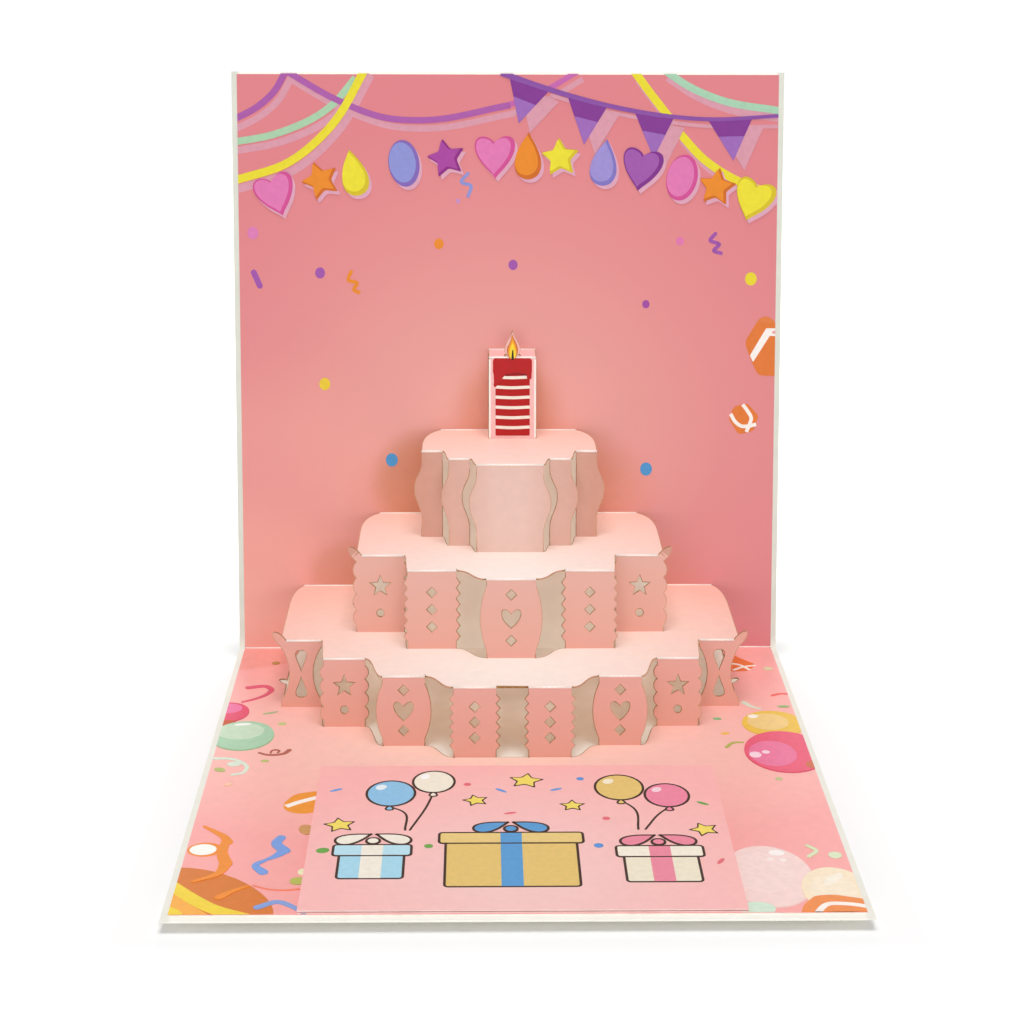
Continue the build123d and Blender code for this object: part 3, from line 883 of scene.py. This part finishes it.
# %% Print the ribbons on the base
base_ribbons = InkSheet("base_ribbons", *BASE)
PINK_CURL = [(-70, -39.6), (-66.4, -37), (-64, -34), (-63.2, -31.2), (-64.8, -28.8), (-69.4, -29.6)]
MINT_CURL = [(-73, -75.8), (-69.2, -76.1), (-66.2, -78.2), (-64.6, -81.2), (-65.4, -84.4), (-67.7, -85.5)]
BROWN_CURL = [(-62.5, -72.4), (-60.5, -73.6), (-58.2, -73.7), (-56.2, -72.8), (-55.2, -70.9)]
BROWN_LOOP = [(-59.6, -72.5), (-59.5, -71.3), (-58.6, -70.7), (-57.6, -71.2), (-57.9, -72.3)]
for knots, width, end_width, code, level in [
    (PINK_CURL, 0.8, 1.9, "#E2607A", 7),
    (MINT_CURL, 1.2, 0.9, "#DDEBDA", 7),
    (BROWN_CURL, 0.6, 1.2, "#B4695A", 7),
    (BROWN_LOOP, 0.5, 0.5, "#B4695A", 8),
    ([(-52.9, -119.8), (-53.7, -122.4), (-51.6, -126.4)], 2.1, 2.7, "#7AA2E2", 7),
    ([(-51.6, -126.4), (-53.2, -128.9), (-55.2, -130.8)], 2.7, 0.9, "#7AA2E2", 7.5),
    ([(-55.2, -130.8), (-57.3, -133.4), (-55.4, -136.8)], 0.9, 2.3, "#7AA2E2", 8),
    ([(-70.9, -113.9), (-68, -116.8), (-65.6, -119.7), (-64.8, -122)], 0.7, 2.6, "#F0902F", 7),
    ([(-65.2, -122.4), (-65.4, -126.8), (-63.9, -132.6)], 2, 2.9, "#F0902F", 7.5),
    ([(-63.9, -132.6), (-65, -137.2), (-70.1, -141.2)], 2.9, 0.8, "#F0902F", 8),
    ([(-55, -153), (-51, -150.6), (-47.6, -152.8), (-45, -156)], 1.8, 1, "#86A4DC", 7),
    ([(-56.9, -143), (-53.4, -144.8), (-50.1, -145.3), (-46, -144.5)], 0.45, 0.55, "#F58C6E", 7),
    ([(-63.6, -148.4), (-60.8, -145.4), (-57.8, -143.2)], 2, 0.6, "#F0902F", 7),
    ([(61.2, -40.8), (62.6, -43.4), (64.9, -45.2)], 1.5, 0.7, "#DDE3D0", 7),
    ([(69.3, -36), (71.6, -34.8), (74.5, -35.2)], 0.9, 0.7, "#EE6C66", 7),
    ([(53.4, -69.8), (55.6, -67), (57.8, -66.9)], 0.9, 0.6, "#B6B85A", 7),
    ([(65.4, -124.8), (67, -127.4), (65, -130.2)], 1, 1.1, "#DCE4BC", 7),
]:
    base_ribbons.stroke(knots, width, end_width, code, level)
base_ribbons.add_rows([
    (disc(-67.9, -79.2, 3.4, 2.6), "#DDEBDA", 8),
    (disc(-66, -149, 36, 20.6, -45), "#DA7B31", 1),
    (ribbon([(-75, -142.4), (-69.4, -148.8), (-64.8, -153.2), (-57, -157.6)], 3.6), "#F5D63C", 2),
    (ribbon([(-76, -146.4), (-71.4, -152), (-65.6, -158)], 3.6), "#FAB148", 3),
    (disc(-76, -158, 12, 12), "#F5D63C", 4),
    (disc(-69.4, -125.6, 7.8, 7), "#F0902F", 1),
    (disc(-69.8, -125.6, 6, 5.4), "#FFFFF8", 2),
])
base_ribbons.finish()

# %% [markdown]
# ## Confetti and gifts on the base
# Small spots fill the rest of the base print, and three wrapped gifts lie among them: patches with rounded
# corners and pale bands. The back left corner is a shade darker.

# %% Print the confetti on the base
base_confetti = InkSheet("base_confetti", *BASE)
base_confetti.spots([
    (-62, -47, 4.2, 0.9, 24, "#A9B98C"), (-58.4, -54.2, 2.2, 1.6, 0, "#C9CF8C"),
    (-60.6, -77.3, 2, 1.2, 0, "#B8C272"), (-71, -82.5, 3, 2, -30, "#B4C070"),
    (-68, -91, 2.2, 1.4, 40, "#FBC9A8"), (71.2, -43.6, 3.2, 1.4, 0, "#9DB87A"),
    (53, -51.7, 2.2, 1.4, 0, "#8FBF8A"), (54, -61.2, 2.2, 1.4, 0, "#F3BE62"),
    (70.6, -16.8, 2.6, 2.6, -30, "#E2D3AC"), (63.9, -88.8, 1.8, 1.6, 0, "#C3C98C"),
    (73, -80.6, 2.8, 4.4, 0, "#D0704E"), (-63.8, -11.8, 2.2, 2, 20, "#B98A4E"),
    (70.9, -129.6, 3, 3.2, 0, "#DDE8C4"), (-47.4, -115.8, 3.6, 5.2, 20, "#D09A62"),
    (-47.4, -141, 3.6, 3.4, 0, "#B9BE5E"), (-46.8, -136.8, 2, 3, 0, "#F3EFC4"),
    (50.4, -154.5, 8, 6, 0, "#D6EBD6"),
], 7)
DARK_CORNER = [(-74, -1), (-58, -1), (-60, -11.4), (-66, -14.6), (-74, -17)]
LEFT_GIFT = [
    (-54.2, -102.2), (-51.8, -96.4), (-46, -94.6), (-43, -97), (-43.4, -105.4), (-49.4, -107.6),
    (-53.2, -105.8),
]
BACK_GIFT = [(58.8, -10), (61.6, -4.6), (63.6, -8.2), (67.8, -13.6), (65, -18.4), (60.4, -18.8)]
FRONT_GIFT = [(59.4, -157), (60.4, -153.2), (63.4, -148.9), (67.6, -148.4), (76, -151.2), (76, -157)]
base_confetti.add_rows([
    (patch(DARK_CORNER), "#F49F96", 0.5),
    (patch(LEFT_GIFT, 1.8), "#F09A38", 1),
    (ribbon([(-53.2, -103.3), (-50.4, -101), (-45.6, -98)], 1.7), "#FFF6EC", 2),
    (patch(BACK_GIFT, 1), "#E9763F", 1),
    (ribbon([(59.4, -12.6), (62.6, -13.4), (65.6, -17.6)], 0.9), "#FBEFE8", 2),
    (ribbon([(61, -17.8), (64, -15.4), (67.6, -14.2)], 0.9), "#FBEFE8", 3),
    (patch(FRONT_GIFT, 1.2), "#F08F4C", 8),
    (ribbon([(62.6, -157), (66, -152.6), (69.4, -152.6), (76, -154.6)], 1.5), "#FFF4EC", 9),
])
base_confetti.finish()

# %% [markdown]
# ## The note card's picture
# The small card has a picture of presents and balloons, drawn with a dark line round each colour. The line
# is an inset of the same patch, so it keeps an even width round any shape.

# %% Print the note card
NOTE_INK = "#3B2B22"
BAND_HALF = 2.4
LID_LIP = 1.5
note_middle = (note_low.x + note_high.x) / 2
fold_middle = Vector((note_middle, note_high.y - NOTE_PAPER, note_low.z + 2 * NOTE_PAPER))
note_place = Matrix.Translation(fold_middle) @ Matrix.Rotation(-note_tilt, 4, "X") @ Matrix.Scale(MM, 4)
half_note = (note_high.x - note_low.x) / 2 / MM
note_art = InkSheet("note_picture", note_place, (-half_note, half_note, -note_run / MM, 0), "note_paper")


def present(x, y, width, height, paper, lid, band):
    """A wrapped box with a lid, a band and a bow; x is its middle and y its bottom."""
    half = width / 2
    top = y + height
    note_art.add(block(x - half, x + half, y, top, 1.2), paper, 2, NOTE_INK)
    note_art.add(block(x - BAND_HALF, x + BAND_HALF, y + 0.5, top), band, 3)
    note_art.add(block(x - half - LID_LIP, x + half + LID_LIP, top - 1, top + 5, 1.2), lid, 4, NOTE_INK)
    note_art.add(block(x - BAND_HALF, x + BAND_HALF, top - 0.5, top + 4.4), band, 5)
    note_art.add(drop(x - 4.4, top + 8, 6, 9.4, -62), band, 5, NOTE_INK)
    note_art.add(drop(x + 4.4, top + 8, 6, 9.4, 62), band, 6, NOTE_INK)
    note_art.add(disc(x, top + 6.6, 3.6), band, 7, NOTE_INK)


def tied_balloon(x, y, width, code, spot, to):
    """An oval balloon with a string that runs to a knot."""
    half_way = ((x + to[0]) / 2 + 1.2, (y + to[1]) / 2)
    note_art.add(ribbon([(x, y - width * 0.6), half_way, to], 0.55), NOTE_INK, 1)
    note_art.add(drop(x, y - width * 0.66, 2.6, 3), code, 2, NOTE_INK, 0.5)
    note_art.add(disc(x, y, width, width * 1.22), code, 3, NOTE_INK)
    note_art.add(disc(x - width * 0.2, y + width * 0.28, width * 0.2, width * 0.26, -30), spot, 4)


present(-2, -64, 30, 22, "#E7C778", "#EBCF86", "#5AA0D8")
present(-33, -60, 15, 12, "#A9DDF0", "#BCE6F4", "#F6F1E2")
present(31, -62, 17, 13, "#F3EAD2", "#F8F2E0", "#EE8FA4")
tied_balloon(-30, -16, 12, "#8FC6EA", "#E9F6FC", (-26, -36))
tied_balloon(-20, -9.5, 10.5, "#F6EEDC", "#FFFFFF", (-25, -36))
tied_balloon(24, -13, 12, "#E7C778", "#F9EFD2", (27, -36))
tied_balloon(35, -17.5, 11, "#F08CA6", "#FBD9E2", (28.5, -36))
STARS = [(-41, -33, 6.5, 10), (2, -9, 7.5, -8), (42, -36, 6, 20), (12.5, -23, 5, 0), (-10, -20, 5.2, 14)]
for x, y, size, turn in STARS:
    note_art.add(star(x, y, size + 1.6, turn=turn), NOTE_INK, 2)
    note_art.add(star(x, y, size, turn=turn), "#F6E06A", 3)
note_art.spots([
    (-43, -14, 3.4, 1, 30, "#6E9FDE"), (-4, -14.5, 3.4, 1, -40, "#6E9FDE"),
    (9, -14, 3.2, 1, 25, "#6E9FDE"), (15, -8, 1.8, 1.8, 0, "#5B97DA"),
    (-12, -11, 1.8, 1.8, 0, "#E8747F"), (43, -22, 3.2, 1, -35, "#6CA84F"),
    (-44, -46, 3, 2.6, 20, "#6CA84F"), (20, -30, 1.8, 1.8, 0, "#E8747F"),
    (44, -52, 3.2, 1.1, 60, "#E8747F"), (-20.5, -44, 2, 2, 0, "#6CA84F"),
    (17.5, -44, 2.2, 2.2, 0, "#5B97DA"), (-2, -27, 3, 1, 15, "#E8747F"),
], 2)
note_art.finish()

# %% [markdown]
# ## The candle and its flame
# The candle is printed on the front of the box: a red candle with white rings and a run of melted wax at
# its top. The flame stands up from the box, cut from the same sheet, and is printed in yellow and orange.

# %% Print the candle
CANDLE_X = 1.0
CANDLE_FRONT = 9.2
FIRST_RING, RING_PITCH, RINGS = 3.2, 2.72, 6
WAX = "#B4181B"
WAX_RUN = [(-5.25, 20), (-1.8, 20), (-2.1, 17.2), (-3.8, 15), (-4.6, 13.9), (-5.2, 14.4), (-5, 15.4)]
FLAME = [
    (-0.1, 28.5), (0.35, 27.2), (0.95, 26.1), (1.4, 25), (1.5, 24), (1.25, 22.9), (0.7, 22),
    (0.1, 21.6), (-0.6, 21.9), (-1.2, 22.7), (-1.5, 23.8), (-1.35, 24.9), (-0.8, 25.9), (-0.4, 26.8),
    (-0.3, 27.6),
]
FLAME_HEART = 24.0
candle_place = upright_place(TIER_3_TOP, CANDLE_FRONT, CANDLE_X)
candle = InkSheet("candle_print_art", candle_place, (-6.4, 6.4, 0, 30))
for side in (-1, 1):
    candle.add(block(side * 5.9, side * 6.4, 0.3, 21.6), "#FBF1E8", 1)
candle.add(block(-4.6, 4.7, 0.85, 18.5, 0.3), "#B00C0C", 2)
for ring in range(RINGS):
    y = FIRST_RING + RING_PITCH * ring
    candle.add(ribbon([(-4.6, y), (0, y - 0.2), (4.7, y)], 0.82), "#F4E8DA", 3)
inner_flame = [(x * 0.86, FLAME_HEART + (y - FLAME_HEART) * 0.93) for x, y in FLAME]
candle.add_rows([
    (block(-5.3, 5.3, 17.3, 22, 1), WAX, 4),
    (block(3.9, 5.2, 16.2, 20, 0.5), WAX, 4.5),
    (patch(WAX_RUN, 0.4), WAX, 5),
    (ribbon([(-2, 17.25), (0.9, 17.7), (3.9, 17.3)], 0.4), "#7F1016", 6),
    (patch(FLAME, 0.25), "#B5621F", 7),
    (patch(inner_flame, 0.2), "#E28A2B", 7.5),
    (drop(0, 24.3, 2.5, 5.4), "#F1A62F", 8),
    (drop(0.05, 23.9, 1.9, 4.4), "#F8D638", 9),
    (ribbon([(0.05, 21.5), (0.05, 22.8), (0.1, 24.1)], 0.7, 0.3), "#1E1512", 10),
])
candle.finish()

# %% [markdown]
# ## Floor and background
# The photograph is a plain studio shot on white. The lower panel of the real card bows a little, so its
# edges stand clear of the table and throw a thin dark shadow: here the floor lies that much lower. The floor
# is a white diffuse plane that keeps the shadow. Further from the card it gives off light to the camera
# alone, so it reads as white without more light on the card. The background does the same.

# %% Make the floor and the background
EDGE_CLEARANCE = 2.3 * MM
FLOOR_HALF = 3.0
GLOW_FROM, GLOW_TO = 83 * MM, 115 * MM
GLOW_NEAR, GLOW_FAR = 0.05, 0.66
WORLD_LIGHT, WORLD_SEEN = 0.33, 1.0
WHITE = (1, 1, 1, 1)
FLOOR_WHITE = (0.94, 0.94, 0.94, 1)
floor_bm = bmesh.new()
bmesh.ops.create_grid(floor_bm, x_segments=1, y_segments=1, size=FLOOR_HALF)
bmesh.ops.translate(floor_bm, vec=(0, 0, -EDGE_CLEARANCE), verts=floor_bm.verts)
floor_mesh = bpy.data.meshes.new("floor")
floor_bm.to_mesh(floor_mesh)
floor_bm.free()
floor = new_object("floor", floor_mesh)

studio_white = bpy.data.materials.new("studio_white")
studio_white.use_nodes = True
tree = studio_white.node_tree
shader = tree.nodes["Principled BSDF"]
for name, value in [("Base Color", FLOOR_WHITE), ("Roughness", 0.9), ("Emission Color", WHITE)]:
    shader.inputs[name].default_value = value


def maths(tree, operation, first, second):
    """Value of a Math node that joins two others."""
    node = add_node(tree, "ShaderNodeMath")
    node.operation = operation
    tree.links.new(first, node.inputs[0])
    tree.links.new(second, node.inputs[1])
    return node.outputs["Value"]


def seen_by_camera(tree):
    """1 for rays from the camera and for what gloss and glass show, 0 for rays that carry light."""
    rays = add_node(tree, "ShaderNodeLightPath").outputs
    shown = maths(tree, "MAXIMUM", rays["Is Glossy Ray"], rays["Is Transmission Ray"])
    return maths(tree, "MAXIMUM", rays["Is Camera Ray"], shown)


unsigned = add_node(tree, "ShaderNodeVectorMath")
unsigned.operation = "ABSOLUTE"
tree.links.new(add_node(tree, "ShaderNodeTexCoord").outputs["Object"], unsigned.inputs[0])
parts = add_node(tree, "ShaderNodeSeparateXYZ")
tree.links.new(unsigned.outputs["Vector"], parts.inputs[0])
away = maths(tree, "MAXIMUM", parts.outputs["X"], parts.outputs["Y"])
level = map_range(tree, away, GLOW_FROM, GLOW_TO, GLOW_NEAR, GLOW_FAR, "SMOOTHSTEP")
glow = maths(tree, "MULTIPLY", seen_by_camera(tree), level)
tree.links.new(glow, shader.inputs["Emission Strength"])
floor_mesh.materials.append(studio_white)

world = bpy.data.worlds.new("studio")
world.use_nodes = True
scene.world = world
tree = world.node_tree
background = tree.nodes["Background"]
background.inputs["Color"].default_value = WHITE
strength = map_range(tree, seen_by_camera(tree), 0, 1, WORLD_LIGHT, WORLD_SEEN)
tree.links.new(strength, background.inputs["Strength"])
print("floor lies", round(EDGE_CLEARANCE / MM, 1), "mm under the card")

# %% [markdown]
# ## Lamps
# One large soft lamp hangs overhead for the level faces, a low wide strip in front lights the leaning ones
# and reaches into the cake, two small lamps at the sides soften the shadows, and one behind keeps the
# outside of the cover from going grey. Inside the cake, light goes to and fro between white walls many
# times. Blender starts with four diffuse bounces, which would leave it too dark there, so they are raised.

# %% Hang the lamps
CARD_MIDDLE = (0, 0.04, 0.05)


def lamp(name, place, aim, width, height, watts):
    """Soft lamp that points at a place on the card."""
    data = bpy.data.lights.new(name, "AREA")
    data.shape = "RECTANGLE"
    data.size = width
    data.size_y = height
    data.energy = watts
    stand = new_object(name, data)
    stand.location = place
    stand.rotation_euler = (Vector(aim) - Vector(place)).to_track_quat("-Z", "Y").to_euler()


lamp("left_softbox", (-0.5, -0.6, 0.42), CARD_MIDDLE, 0.3, 0.3, 0.35)
lamp("right_softbox", (0.52, -0.6, 0.42), CARD_MIDDLE, 0.3, 0.3, 0.35)
lamp("overhead_softbox", (0, -0.05, 0.95), (0, 0, 0), 0.5, 0.5, 5.25)
lamp("front_strip", (0, -0.9, 0.09), (0, 0, 0.06), 0.8, 0.14, 2.55)
lamp("back_softbox", (0, 0.95, 0.5), (0, 0.1, 0.08), 0.5, 0.5, 2.9)
scene.view_settings.view_transform = "Standard"
scene.cycles.diffuse_bounces = 12
